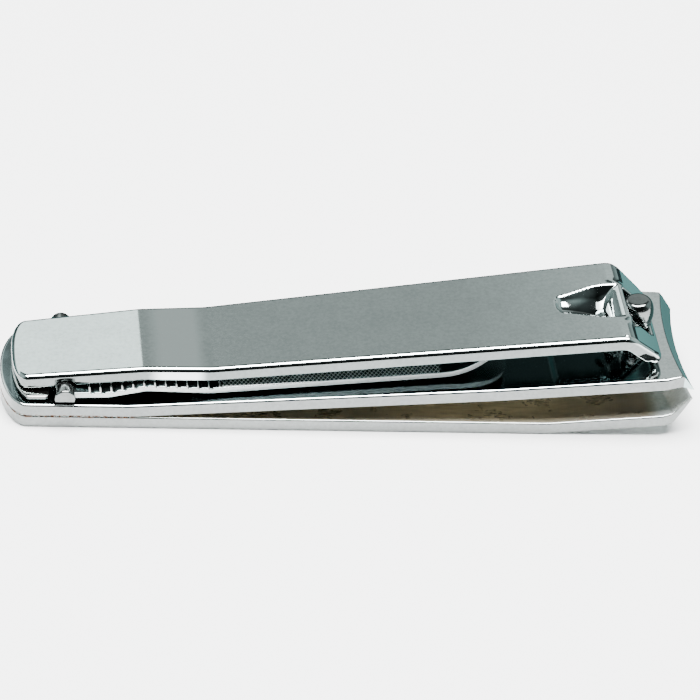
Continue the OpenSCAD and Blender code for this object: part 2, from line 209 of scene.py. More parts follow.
def plate(name, loops, grid, lift, top, bottom, top_round, bottom_round, arc_steps=6):
    """A plate over the loops: faces lift(s, y, top) and lift(s, y, bottom), with quarter-round edges.

    A round of radius r starts at the side and moves in by r(1 - cos a) while it rises by r sin a.
    """
    vertices, faces, rims, marks = [], [], [], []
    count = 0
    for face_offset, rounding, sign in ((top, top_round, -1), (bottom, bottom_round, 1)):
        rows, inner = [], []
        for loop in loops:
            normal, radius = inward(loop), rounding(loop[:, 0], loop[:, 1])
            angles = np.linspace(0, math.pi / 2, arc_steps + 1)
            rings = []
            for angle in angles:
                at = loop + normal * (radius * (1 - math.cos(angle)))[:, None]
                offset = face_offset(at[:, 0], at[:, 1]) + sign * radius * (1 - math.sin(angle))
                rings.append(np.column_stack([at, offset]))
                marks.append(np.full(len(at), -sign * math.sin(angle) ** 3))
            at = loop + normal * (radius + 0.03)[:, None]
            inner.append(at)
            rows.append(rings)
        for rings in rows:
            for ring in rings:
                vertices.append(ring)
        starts = []
        for rings in rows:
            starts.append(count)
            n = len(rings[0])
            for k in range(len(rings) - 1):
                a = count + k * n + np.arange(n)
                b = count + k * n + (np.arange(n) + 1) % n
                faces += np.column_stack([a, b, b + n, a + n]).tolist()
            count += n * len(rings)
        points, triangles = sheet_faces(inner, grid)
        marks.append(np.full(len(points), -float(sign)))
        vertices.append(np.column_stack([points, face_offset(points[:, 0], points[:, 1])]))
        faces += (triangles + count).tolist()
        first = count
        for start, rings in zip(starts, rows):
            n = len(rings[0])
            a = start + (len(rings) - 1) * n + np.arange(n)
            b = start + (len(rings) - 1) * n + (np.arange(n) + 1) % n
            c = first + np.arange(n)
            d = first + (np.arange(n) + 1) % n
            faces += np.column_stack([a, b, d, c]).tolist()
            first += n
        count += len(points)
        rims.append(starts)
    for loop, upper, lower in zip(loops, *rims):
        n = len(loop)
        flat = np.concatenate(vertices)
        high, low = flat[upper:upper + n, 2], flat[lower:lower + n, 2]
        previous = upper
        for share in (0.06, 0.94):
            vertices.append(np.column_stack([loop, high + (low - high) * share]))
            marks.append(np.zeros(n))
            a, b = previous + np.arange(n), previous + (np.arange(n) + 1) % n
            c, d = count + np.arange(n), count + (np.arange(n) + 1) % n
            faces += np.column_stack([a, b, d, c]).tolist()
            previous = count
            count += n
        a, b = previous + np.arange(n), previous + (np.arange(n) + 1) % n
        c, d = lower + np.arange(n), lower + (np.arange(n) + 1) % n
        faces += np.column_stack([a, b, d, c]).tolist()
    flat = np.concatenate(vertices)
    return mesh_object(name, lift(flat[:, 0], flat[:, 1], flat[:, 2]), faces, np.concatenate(marks))


def warped_grid(s_values, y_values, sag=None):
    """All pairs of s and y, with s moved by sag(s, y)."""
    s, y = [part.ravel() for part in np.meshgrid(s_values, y_values)]
    if sag is not None:
        s = s + sag(s, y)
    return np.column_stack([s, y])


class Nodes:
    """Short calls for building a material's or the world's nodes."""

    def __init__(self, tree):
        self.tree = tree
        tree.nodes.clear()

    def add(self, kind, values=(), **settings):
        node = self.tree.nodes.new(kind)
        for key, value in settings.items():
            setattr(node, key, value)
        for socket, value in dict(values).items():
            if isinstance(value, bpy.types.NodeSocket):
                self.tree.links.new(value, node.inputs[socket])
            else:
                node.inputs[socket].default_value = value
        return node

    def math(self, operation, a, b=0.0, c=0.0, clamp=False):
        return self.add("ShaderNodeMath", {0: a, 1: b, 2: c}, operation=operation, use_clamp=clamp).outputs[0]

    def ramp(self, value, low, high, to_low=0.0, to_high=1.0):
        return self.add("ShaderNodeMapRange", {0: value, 1: low, 2: high, 3: to_low, 4: to_high},
                        interpolation_type="SMOOTHSTEP").outputs[0]

    def noise(self, vector, scale, detail=2.0, rough=0.5):
        return self.add("ShaderNodeTexNoise", {"Vector": vector, "Scale": scale, "Detail": detail,
                                               "Roughness": rough}).outputs[0]

    def mix(self, share, a, b):
        return self.add("ShaderNodeMix", {0: share, 6: a, 7: b}, data_type="RGBA").outputs[2]


def chrome(name, colour, roughness=0.07, haze=0.08, pits=0.5, scratch=(1, 9, 9),
           wall_shade=0.31, wall_metal=1.0, extra=None):
    """Polished plating: smudges, short polishing scratches, small dark pits and a slight wave of the surface.

    The side walls are wall_shade times as bright, a painted shade below 1 and a painted highlight above 1;
    meshes without facing marks take it all over. extra changes the base colour, roughness and metalness.
    """
    material = bpy.data.materials.new(name)
    material.use_nodes = True
    n = Nodes(material.node_tree)
    place = n.add("ShaderNodeTexCoord").outputs["Object"]
    mm = n.add("ShaderNodeVectorMath", {0: place, 1: (1000, 1000, 1000)}, operation="MULTIPLY").outputs[0]
    lines = n.add("ShaderNodeVectorMath", {0: mm, 1: scratch}, operation="MULTIPLY").outputs[0]
    smudge = n.noise(mm, 0.35, 4, 0.6)
    fine = n.noise(lines, 1.6, 3, 0.6)
    cells = n.add("ShaderNodeTexVoronoi", {"Vector": mm, "Scale": 1.1}).outputs["Distance"]
    spread = n.noise(mm, 0.5, 2)
    pit_size = n.ramp(spread, 0.52, 0.75, 0.0, 0.10 * pits)
    pit = n.math("LESS_THAN", cells, pit_size)
    base = n.mix(n.ramp(smudge, 0.35, 0.7, 0.0, 0.5), (*colour, 1), (*[c * 0.86 for c in colour], 1))
    base = n.mix(pit, base, (0.09, 0.075, 0.06, 1))
    rough = n.math("ADD", n.ramp(smudge, 0.4, 0.75, roughness, roughness + haze),
                   n.ramp(fine, 0.45, 0.8, 0.0, 0.04))
    rough = n.math("MAXIMUM", rough, n.math("MULTIPLY", pit, 0.6))
    facing = n.add("ShaderNodeAttribute", attribute_name="facing").outputs["Fac"]
    # Painted shade on the side walls (painted highlight where wall_shade is above 1), times a random mottle
    # over every face.
    wall = n.ramp(n.math("ABSOLUTE", facing), 0.0, 0.3, wall_shade, 1.0)
    shade_and_mottle = n.math("MULTIPLY", wall, n.ramp(n.noise(mm, 3.0, 4, 0.7), 0.3, 0.7, 0.86, 1.06))
    red = n.math("MULTIPLY", shade_and_mottle, 0.96)
    tone = n.add("ShaderNodeCombineColor", {0: red, 1: shade_and_mottle, 2: shade_and_mottle}).outputs[0]
    base = n.add("ShaderNodeMix", {0: 1.0, 6: base, 7: tone}, data_type="RGBA",
                 blend_type="MULTIPLY").outputs[2]
    metal = n.ramp(n.math("ABSOLUTE", facing), 0.0, 0.3, wall_metal, 1.0)
    if extra is not None:
        base, rough, metal = extra(n, mm, facing, base, rough, metal)
    wave = n.noise(mm, 0.22, 1)
    height = n.math("ADD", n.math("MULTIPLY", wave, 0.006), n.math("MULTIPLY", fine, 0.0006))
    height = n.math("SUBTRACT", height, n.math("MULTIPLY", pit, 0.01))
    bump = n.add("ShaderNodeBump", {"Strength": 1.0, "Distance": 0.001, "Height": height}).outputs[0]
    shader = n.add("ShaderNodeBsdfPrincipled", {"Base Color": base, "Roughness": rough, "Metallic": metal,
                                                "Normal": bump}).outputs[0]
    n.add("ShaderNodeOutputMaterial", {"Surface": shader})
    return material


def paint(piece, material):
    """Gives the piece its one material."""
    piece.data.materials.clear()
    piece.data.materials.append(material)


length, arm_thickness, slope = 60.0, 1.15, math.tan(math.radians(5.5))
arm_rear_half, arm_front_half, corner_x, edge_half = 5.7, 6.9, 57.4, 6.2
hollow, lower_edge_z, jaw_opening, land = 0.55, 3.6, 0.9, 0.15
lower_rise_x, lower_inner_lean, lower_outer_lean = 47.4, 1.09, 0.65
edge_radius = (4 * edge_half ** 2) / (8 * hollow) + hollow / 2
edge_centre = length - hollow + edge_radius
post_x, post_top_z, lean = 55.8, 5.8509, math.radians(5.5)
hole_radius, arm_rear_depth, weld_x = 1.36, 2.3, 11.0
sliver, no_round = 0.02, 0.012


def edge_x(y):
    """Where the cutting edge, an arc of edge_radius, lies at y."""
    return edge_centre - np.sqrt(edge_radius ** 2 - np.minimum(np.abs(y), edge_half) ** 2)


def edge_gap(x, y):
    """Distance behind the upright cylinder that the cutting edge lies on."""
    return np.hypot(x - edge_centre, y) - edge_radius


def arm_loop():
    """The arms' outline: an elliptical rear end, straight sides, cut corners and the arc of the blade."""
    angles = np.linspace(-math.pi / 2, math.pi / 2, 41)
    rear = np.column_stack([arm_rear_depth * (1 - np.cos(angles)), -arm_rear_half * np.sin(angles)])
    y = np.linspace(-edge_half, edge_half, 61)
    front = np.column_stack([edge_x(y), y])
    sides = np.concatenate([rear, [[corner_x, -arm_front_half]], front, [[corner_x, arm_front_half]]])
    return resampled(sides, 0.3)


def post_loop():
    """The hole for the post, travelled the other way round."""
    angles = np.linspace(0, -2 * math.pi, 64, endpoint=False)
    middle = post_x + (arm_thickness / 2 + 0.4) * math.sin(lean)
    return np.column_stack([middle + hole_radius * np.cos(angles), hole_radius * np.sin(angles)])


def arm_round(radius):
    """The edge rounding of an arm: radius along the sides, fading to almost nothing at the blade."""
    return lambda x, y: no_round + (radius - no_round) * (1 - smooth(x, 57.6, 59.3))


def blade_sag(x, y):
    """Bends the grid's rows into arcs like the cutting edge as they come near it."""
    return (edge_x(y) - length) * smooth(x, 50, 57)


def flat_lift(x, y, z):
    """Places x from the clipper's middle, with z as it is."""
    return np.column_stack([x - length / 2, y, z])


def lower_under(x):
    """The lower arm's underside, level and then rising from lower_rise_x."""
    return slope * soft_max(x - lower_rise_x, 0 * x, 0.3)


def lower_top(x, y):
    """The lower arm's upper face, ground down behind the cutting edge."""
    face = lower_under(x) + arm_thickness
    ground = lower_edge_z - np.maximum(edge_gap(x, y) - land, 0) / lower_inner_lean
    return soft_max(face, ground, 0.12 * smooth(edge_gap(x, y), land, 0.6) + 1e-4)


def lower_bottom(x, y):
    """The lower arm's underside, ground up to the cutting edge."""
    ground = lower_edge_z - sliver - np.maximum(edge_gap(x, y), 0) / lower_outer_lean
    return soft_max(lower_under(x), ground, 0.2 * smooth(edge_gap(x, y), 0.2, 1.2) + 1e-4)


def weld_rust(n, mm, base, rough):
    """Rust specks in the seam between the arms, over the length of the weld."""
    x, y, z = n.add("ShaderNodeSeparateXYZ", {0: mm}).outputs
    speckle = n.noise(mm, 2.6, 4, 0.7)
    from_seam = n.math("ABSOLUTE", n.math("SUBTRACT", z, arm_thickness))
    at_seam = n.math("MULTIPLY", n.ramp(from_seam, 0.05, 0.2, 1.0, 0.0), n.ramp(x, -18.0, -19.0))
    rust = n.math("MULTIPLY", at_seam, n.ramp(speckle, 0.44, 0.56))
    return n.mix(rust, base, (0.13, 0.06, 0.03, 1)), n.math("MAXIMUM", rough, n.math("MULTIPLY", rust, 0.8))


def inner_brown_and_shade(n, mm, facing, base, rough, metal):
    """The lower arm's inner face: brownish, with painted shade darkest where the arms are close and beside
    the post.
    """
    x, y, z = n.add("ShaderNodeSeparateXYZ", {0: mm}).outputs
    along = n.add("ShaderNodeVectorMath", {0: mm, 1: (0.3, 2, 2)}, operation="MULTIPLY").outputs[0]
    streaks = n.noise(along, 1.5, 3)
    inner = n.ramp(facing, 0.7, 0.98)
    # Painted shade: darkest at the rear where the arms close in, darker again beside the post, with darker
    # streaks.
    shaded_brown = n.mix(n.ramp(x, -2.0, 9.0), (0.22, 0.19, 0.12, 1), (0.60, 0.53, 0.38, 1))
    shaded_brown = n.mix(n.ramp(x, 14.0, 25.0), shaded_brown, (0.30, 0.26, 0.20, 1))
    shaded_brown = n.mix(n.ramp(streaks, 0.3, 0.8, 0.0, 0.6), shaded_brown, (0.30, 0.25, 0.16, 1))
    shaded_brown = n.mix(n.ramp(x, 26.0, 27.6), shaded_brown, base)
    base = n.mix(n.math("MULTIPLY", inner, 0.92), base, shaded_brown)
    rough = n.math("ADD", rough, n.math("MULTIPLY", inner, 0.2))
    metal = n.math("SUBTRACT", metal, n.math("MULTIPLY", inner, 0.45))
    return (*weld_rust(n, mm, base, rough), metal)


arm_x = np.concatenate([np.arange(0.3, 54, 0.6), np.arange(54, 57, 0.2), np.arange(57, 60, 0.07)])
arm_y = np.linspace(-6.7, 6.7, 45)
arm_grid = warped_grid(arm_x, arm_y, blade_sag)
arm_loops = [arm_loop(), post_loop()]
lower_arm = plate("lower_arm_strip", arm_loops, arm_grid, flat_lift, lower_top, lower_bottom,
                  arm_round(0.16), arm_round(0.22))
paint(lower_arm, chrome("lower_arm_chrome", (0.70, 0.715, 0.70), extra=inner_brown_and_shade))
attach(lower_arm, "lower_arm")
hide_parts("lower_arm")


# ---- Upper arm: the same strip, bent up from the weld and ground from both sides to the upper blade.
# It flexes just in front of the weld, where its underside starts to rise.
upper_rise_x, mid_slope = 43.0, 0.0722840
upper_edge_z, upper_outer_lean, upper_inner_lean = lower_edge_z + jaw_opening, 0.71, 1.9
seat_share = 1.003


def upper_under(x):
    """The upper arm's underside: flat on the weld, then two rising stretches."""
    first = mid_slope * soft_max(x - weld_x, 0 * x, 0.2)
    return arm_thickness + first + (slope - mid_slope) * soft_max(x - upper_rise_x, 0 * x, 0.5)


def upper_top(x, y):
    """The upper arm's top, ground down to the cutting edge in front of the crease."""
    ground = upper_edge_z + sliver + np.maximum(edge_gap(x, y), 0) / upper_outer_lean
    face = upper_under(x) + arm_thickness * seat_share
    return soft_min(face, ground, 0.16 * smooth(edge_gap(x, y), 0.1, 1) + 1e-4)


def upper_bottom(x, y):
    """The upper arm's underside, ground up behind the cutting edge."""
    ground = upper_edge_z + np.maximum(edge_gap(x, y) - land, 0) / upper_inner_lean
    return soft_min(upper_under(x), ground, 0.05 * smooth(edge_gap(x, y), land, 0.6) + 1e-4)


def blade_tint(n, mm, facing, base, rough, metal):
    """Painted teal reflection on the blade's ground band, painted shade under the lever and on the brown
    underside, rust in the weld seam.
    """
    x, y, z = n.add("ShaderNodeSeparateXYZ", {0: mm}).outputs
    across = n.math("POWER", n.math("SUBTRACT", x, edge_centre - length / 2), 2.0)
    from_centre = n.math("SQRT", n.math("ADD", across, n.math("POWER", y, 2.0)))
    behind = n.math("SUBTRACT", from_centre, edge_radius)
    # Painted shade, tinted teal, on the top under the lever.
    under_lever_shade = n.math("MULTIPLY", n.ramp(facing, 0.8, 0.99), n.ramp(x, 25.4, 24.2))
    base = n.mix(n.math("MULTIPLY", under_lever_shade, 0.88), base, (0.10, 0.145, 0.15, 1))
    # Painted shade: a brown on the underside between the arms.
    under = n.math("MULTIPLY", n.ramp(facing, -0.8, -0.99), n.ramp(x, 28.2, 27.4))
    base = n.mix(n.math("MULTIPLY", under, 0.85), base, (0.42, 0.37, 0.28, 1))
    # Painted teal reflection on the ground band behind the cutting edge.
    base = n.mix(n.math("MULTIPLY", n.ramp(behind, 1.1, 1.02), 0.85), base, (0.50, 0.64, 0.63, 1))
    return (*weld_rust(n, mm, base, rough), metal)


upper_arm = plate("upper_arm_strip", arm_loops, arm_grid, flat_lift, upper_top, upper_bottom,
                  arm_round(0.22), arm_round(0.12))
paint(upper_arm, chrome("upper_arm_chrome", (0.71, 0.725, 0.715), extra=blade_tint))
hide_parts("upper_arm")
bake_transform(upper_arm)


# ---- Post: a turned pin with a rounded head and a foot; its front is notched for the lever's hinge bar.
# It leans back with the arms' front slope.
post_radius, post_height, notch_height, notch_reach, notch_radius = 1.2, 3.92, 0.88, 0.8, 0.6
head_radius, head_flat, head_lower, head_upper = 1.4, 0.85, 0.9, 1.1
foot_radius, foot_thickness, foot_top = 2.1, 0.5, -4.095


def arc_profile(centre, radius, start, end, steps=8):
    """Points on an arc of the profile, angles in degrees from outwards to upwards."""
    angles = np.radians(np.linspace(start, end, steps + 1))
    return [(centre[0] + radius * math.cos(a), centre[1] + radius * math.sin(a)) for a in angles]


profile = [(0.0, foot_top - foot_thickness)]
profile += arc_profile((foot_radius - 0.2, foot_top - foot_thickness + 0.2), 0.2, -90, 0)
profile += arc_profile((foot_radius - 0.08, foot_top - 0.08), 0.08, 0, 90, 4)
profile += [(post_radius + 0.02, foot_top), (post_radius, foot_top + 0.03)]
profile += [(post_radius, z) for z in np.linspace(foot_top + 0.1, notch_height - notch_radius - 0.02, 12)]
profile += [(post_radius, notch_height - notch_radius * math.cos(a))
            for a in np.radians(np.linspace(0, 180, 25))]
profile += [(post_radius, notch_height + notch_radius + 0.02), (post_radius, 1.7), (post_radius, 1.9)]
head_widest = post_height - head_upper
profile += [(post_radius + (head_radius - post_radius) * math.sin(a), head_widest - head_lower * math.cos(a))
            for a in np.radians(np.linspace(6, 84, 14))]
profile += [(head_flat + (head_radius - head_flat) * math.cos(a), head_widest + head_upper * math.sin(a))
            for a in np.radians(np.linspace(0, 90, 16))]
profile += [(0.8, post_height + 0.003), (0.4, post_height + 0.008), (0.0, post_height + 0.01)]
profile = np.array(profile)
turn = np.linspace(0, 2 * math.pi, 96, endpoint=False)
px = profile[1:-1, 0][:, None] * np.cos(turn)
py = profile[1:-1, 0][:, None] * np.sin(turn)
pz = np.repeat(profile[1:-1, 1][:, None], len(turn), axis=1)
level = np.clip(1 - ((pz - notch_height) / notch_radius) ** 2, 0, None)
in_notch = np.abs(pz - notch_height) < notch_radius + 0.001
px = np.where(in_notch, np.minimum(px, notch_reach - notch_radius * np.sqrt(level)), px)
rows, columns = px.shape
ring = np.stack([px, py, pz], axis=-1).reshape(-1, 3)
ring = np.concatenate([ring, [[0, 0, profile[0, 1]], [0, 0, profile[-1, 1]]]])
faces = []
for row in range(rows - 1):
    a = row * columns + np.arange(columns)
    b = row * columns + (np.arange(columns) + 1) % columns
    faces += np.column_stack([a, b, b + columns, a + columns]).tolist()
for i in range(columns):
    faces.append([(i + 1) % columns, i, rows * columns])
    faces.append([(rows - 1) * columns + i, (rows - 1) * columns + (i + 1) % columns, rows * columns + 1])
leaning = np.column_stack([
    post_x - length / 2 + ring[:, 0] * math.cos(lean) - ring[:, 2] * math.sin(lean), ring[:, 1],
    post_top_z + ring[:, 0] * math.sin(lean) + ring[:, 2] * math.cos(lean)])
post = mesh_object("turned_post", leaning, faces)
paint(post, chrome("post_chrome", (0.72, 0.73, 0.72), roughness=0.09, pits=0.3, scratch=(9, 9, 1)))
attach(post, "post")
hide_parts("pivot_post")

# ---- Lever: a pressed plate, 1.2 mm thick: a rear plate, a step, a long main plate and a sloping flap.
# The flap has a window for the post, closed by the hinge bar; a closed bowl is pressed in behind it.
half = 0.6
hook = np.array([56.51197, 6.80353])
bend = np.array([53.8, 9.1709])
rear_point = np.array([1.0, 3.5641])
step_start, step_end = np.array([12.3, 4.8071]), np.array([18.0, 4.9071])
main_slope = (bend[1] - step_end[1]) / (bend[0] - step_end[0])


def round_corner(a, b, c, radius, steps=24):
    """An arc of radius that touches the lines from b to a and from b to c."""
    u, v = (a - b) / np.linalg.norm(a - b), (c - b) / np.linalg.norm(c - b)
    half_angle = math.acos(u @ v) / 2
    middle = b + (u + v) / np.linalg.norm(u + v) * radius / math.sin(half_angle)
    reach = radius / math.tan(half_angle)
    first, last = b + u * reach - middle, b + v * reach - middle
    arms = [first * (1 - t) + last * t for t in np.linspace(0, 1, steps)]
    return [middle + arm / np.linalg.norm(arm) * radius for arm in arms]


class Path:
    """A side profile measured along its length s, with its normal to the left."""

    def __init__(self, points):
        self.points = np.array(points)
        self.s = np.concatenate([[0], np.cumsum(np.linalg.norm(np.diff(self.points, axis=0), axis=1))])
        fine = np.linspace(0, self.s[-1], 6000)
        x, z = np.interp(fine, self.s, self.points[:, 0]), np.interp(fine, self.s, self.points[:, 1])
        angle = np.unwrap(np.arctan2(np.gradient(z, fine), np.gradient(x, fine)))
        kernel = np.hanning(41) / np.hanning(41).sum()
        self.angle = np.convolve(np.pad(angle, 20, mode="edge"), kernel, mode="valid")
        self.fine, self.x, self.z = fine, x, z

    def at(self, x):
        """The length at which the path reaches x."""
        return np.interp(x, self.points[:, 0], self.s)

    def lift(self, s, y, offset):
        """Places a point at length s and distance offset from the path."""
        beyond = s - np.clip(s, 0, self.s[-1])
        angle = np.interp(s, self.fine, self.angle)
        x = np.interp(s, self.fine, self.x) + beyond * np.cos(angle) - offset * np.sin(angle)
        z = np.interp(s, self.fine, self.z) + beyond * np.sin(angle) + offset * np.cos(angle)
        return np.column_stack([x - length / 2, y, z])


lever_path = Path([rear_point] + round_corner(rear_point, step_start, step_end, 4)
                  + round_corner(step_start, step_end, bend, 6)
                  + round_corner(step_end, bend, hook, 1.3) + [hook])
s_hook, s_bend, s_step = lever_path.s[-1], lever_path.at(bend[0]), lever_path.at(step_start[0])
lever_rear_half, lever_front_half, lever_edge_half, rear_depth = 4.4, 6.1, 5.05, 1.5
window_half, window_front, window_back = 2.4, s_hook - 0.52, s_bend
bowl_back, bowl_front = s_bend - 5.5, s_bend - 0.42
bowl_radius, bowl_axis, bowl_rear_radius = 2.544, 0.844, 1.467
bulge_radius, bulge_axis, bulge_depth = 3.2, 1.75, 0.82
pin_x, pin_z, groove_radius, groove_rise = 5.45, 3.05, 0.95, 0.4
window_arc, rear_power = 3.6, 0.8


def lever_loop():
    """The lever's outline: a blunt rear end, sides that widen to the bend, and a narrower front edge."""
    angles = np.linspace(-math.pi / 2, math.pi / 2, 61)
    along = 1 - np.abs(np.cos(angles)) ** rear_power
    across = np.sign(np.sin(angles)) * np.abs(np.sin(angles)) ** rear_power
    rear = np.column_stack([rear_depth * along, -lever_rear_half * across])
    near_side = np.array([[rear_depth, -lever_rear_half], [s_bend, -lever_front_half],
                          [s_hook + half, -lever_edge_half]])
    front = rounded(np.concatenate([near_side, near_side[::-1] * [1, -1]]), [0, 1.6, 1.0, 1.0, 1.6, 0])
    return resampled(np.concatenate([rear, front]), 0.22)


def window_loop():
    """The window's outline, with rounded corners, travelled the other way round."""
    corners = [[window_back, -window_half], [window_back, window_half],
               [window_front, window_half], [window_front, -window_half]]
    return resampled(rounded(corners, [0.45, 0.45, 0.35, 0.35], 7), 0.12)


def bowl_depth(s, y):
    """Depth of the pressed bowl: a round channel with a blunt rear end and a steep wall at the front."""
    u = np.clip((s - bowl_back + 0.1) / 0.6, 0, 1)
    radius = bowl_rear_radius + (bowl_radius - bowl_rear_radius) * smooth(s, bowl_back, bowl_front - 0.6)
    radius = radius * np.sqrt(np.clip(1 - (1 - u) ** 2, 0, 1))
    channel = np.sqrt(np.clip(radius ** 2 - y ** 2, 0, None)) - bowl_axis
    wall = (bowl_front - s) / 0.12
    return ramp_from(soft_min(channel, wall, 0.25) + 0.05, 0.1)


def lever_top(s, y):
    """The lever's upper face with the bowl pressed into it."""
    return half - bowl_depth(s, y)


def lever_bottom(s, y):
    """The lever's underside: the bowl's bulge, thinner than the plate, and the groove for the file's pin."""
    grown = np.sqrt(np.clip(bulge_radius ** 2 - y ** 2, 0, None)) - bulge_axis
    grown = soft_min(grown, (s - bowl_back + 0.5) * 1.6, 0.3)
    under = -half - bulge_depth * ramp_from(grown, 0.12)
    round_pin = np.sqrt(np.clip(groove_radius ** 2 - (s - lever_path.at(pin_x)) ** 2, 0, None))
    return np.maximum(under, round_pin - groove_rise - half)


def lever_lift(s, y, offset):
    """Places the lever's points, with the wall between bowl and window on an arc about the hinge."""
    points = lever_path.lift(s, y, offset)
    depth = np.clip(window_arc ** 2 - (points[:, 2] - hook[1]) ** 2, 0.5, None)
    near = smooth(s, bowl_front - 1.8, bowl_front - 0.1)
    near = near * (1 - smooth(s, window_back + 0.02, window_back + 0.7))
    near = near * (1 - smooth(np.abs(y), window_half, window_half + 0.9))
    points[:, 0] += near * (hook[0] - np.sqrt(depth) - bend[0])
    return points


def lever_rim(top):
    """Edge rounding of the lever: wide above, narrow below, and full round along the hinge bar."""
    def radius(s, y):
        bar = smooth(s, s_hook - 0.7, s_hook - 0.3)
        at_window = (np.abs(y) < window_half + 0.3) & (s > window_back - 0.3) & (s < window_front + 0.3)
        side = np.where(at_window, 0.22 if top else 0.12, 0.46 if top else 0.14)
        return side + (0.55 - side) * bar * np.where(at_window, 0.9, 1)
    return radius


def lever_tint(n, mm, facing, base, rough, metal):
    """Painted teal reflection on the flap, painted shade below and in the bowl, and a painted highlight on
    the lighter band of the step.
    """
    x, y, z = n.add("ShaderNodeSeparateXYZ", {0: mm}).outputs
    # Painted teal reflection on the flap.
    flap_reflection = n.math("MULTIPLY", n.ramp(x, 23.9, 24.6), n.ramp(facing, 0.3, 0.9))
    base = n.mix(n.math("MULTIPLY", flap_reflection, 0.85), base, (0.52, 0.66, 0.65, 1))
    # Painted shade on the lever's underside.
    under = n.ramp(facing, -0.8, -0.99)
    base = n.mix(n.math("MULTIPLY", under, 0.7), base, (0.20, 0.25, 0.25, 1))
    # Painted shade in the pressed bowl, where it lies below the plate.
    plate_z = n.math("MULTIPLY_ADD", x, main_slope, step_end[1] + main_slope * (length / 2 - step_end[0]))
    bowl_shade = n.math("MULTIPLY", n.ramp(n.math("SUBTRACT", z, plate_z), 0.15, -0.45), n.ramp(facing, 0.3, 0.9))
    bowl_shade = n.math("MULTIPLY", bowl_shade, n.math("MULTIPLY", n.ramp(x, 17.0, 17.6), n.ramp(x, 23.0, 22.2)))
    base = n.mix(n.math("MULTIPLY", bowl_shade, 0.93), base, (0.05, 0.055, 0.055, 1))
    # Painted highlight on the curved step.
    step = n.math("MULTIPLY", n.ramp(x, -17.6, -16.0), n.ramp(x, -12.2, -13.4))
    base = n.mix(n.math("MULTIPLY", step, 0.9), base, (0.86, 0.93, 0.92, 1))
    return base, rough, metal


s_main = lever_path.at(20)
bends = [np.arange(0.3, s_step - 1.5, 0.5), np.arange(s_step - 1.5, s_main, 0.2),
         np.arange(s_main, bowl_back - 1.2, 0.6), np.arange(bowl_back - 1.2, bowl_front - 0.4, 0.16),
         np.arange(bowl_front - 0.4, window_back + 0.1, 0.05),
         np.arange(window_back + 0.1, s_hook + 0.6, 0.12)]
groove_s = lever_path.at(pin_x) + groove_radius * np.sin(np.linspace(-1.57, 1.57, 15))
lever_y = [np.arange(-5.9, -2.6, 0.3), np.arange(-2.6, 2.65, 0.13), np.arange(2.75, 5.95, 0.3)]
lever_grid = warped_grid(np.concatenate(bends + [groove_s]), np.concatenate(lever_y))
lever = plate("pressed_lever", [lever_loop(), window_loop()], lever_grid, lever_lift,
              lever_top, lever_bottom, lever_rim(True), lever_rim(False))
paint(lever, chrome("lever_chrome", (0.66, 0.70, 0.69), roughness=0.05, haze=0.03, pits=0.6,
                    extra=lever_tint))
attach(lever, "lever")
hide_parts("lever")

# ---- File: a thin hardened strip that turns on the pin; coarse teeth near its root, fine crosshatch beyond.
# Its tip is rounded and bent up along the lever for cleaning under nails.
file_thickness = 0.56
run_gap = 0.34 + file_thickness / 2
kink, hump = np.array([9.15, 3.08]), np.array([12.4, 3.7271])
valley = np.array([18.0, 3.4290])
tip_x, lift_x, tip_z = 43.896, 37.496, 6.6313
run_z = arm_thickness * (1 + seat_share) + mid_slope * (lift_x - weld_x) + run_gap
share, tip_run = np.linspace(0, 1, 30), tip_x - lift_x
tip_rise = mid_slope * tip_run * share * (1 - share) + (tip_z - run_z) * share ** 2
rising = np.column_stack([lift_x + share * tip_run, run_z + tip_rise])
root = np.array([pin_x, 3.08])
file_path = Path([root] + round_corner(root, kink, hump, 1.2) + round_corner(kink, hump, valley, 1.6)
                 + round_corner(hump, valley, rising[0], 4) + rising.tolist())
file_root_half, file_tip_half, tip_length, pin_radius = 5.4, 4.7, 6.0, 0.9
s_tip = file_path.s[-1]
slot_half, slot_depth = 1.8, 1.2
tooth_pitch, tooth_start, tooth_end, tooth_depth = 0.93, 1.9, 13.6, 0.11


def file_loop():
    """The file's outline: a slot for the retainer's hook, tapering sides and an elliptical tip."""
    angles = np.linspace(-math.pi / 2, math.pi / 2, 61)
    tip = np.column_stack([s_tip - tip_length * (1 - np.cos(angles)), file_tip_half * np.sin(angles)])
    root = [[0.0, file_root_half], [0.0, slot_half], [slot_depth, slot_half],
            [slot_depth, -slot_half], [0.0, -slot_half], [0.0, -file_root_half]]
    ends = [[s_tip - tip_length, -file_tip_half], [s_tip - tip_length, file_tip_half]]
    corners = rounded(root + ends, [0.5, 0.2, 0.4, 0.4, 0.2, 0.5, 0, 0], 6)[:-2]
    return resampled(np.concatenate([corners, tip]), 0.11)


def file_top(s, y):
    """The file's face with round-bottomed cuts across it, one each tooth_pitch."""
    phase = (s - tooth_start) / tooth_pitch % 1
    cut = np.clip(1 - (np.abs(phase - 0.5) / 0.2) ** 2, 0, 1) ** 0.7
    where = smooth(s, tooth_start, tooth_start + 0.4) * (1 - smooth(s, tooth_end - 0.4, tooth_end))
    return file_thickness / 2 - tooth_depth * cut * where


def file_bottom(s, y):
    """The file's plain back."""
    return 0 * s - file_thickness / 2


def file_edge(s, y):
    """The file's edge rounding."""
    return 0 * s + 0.1


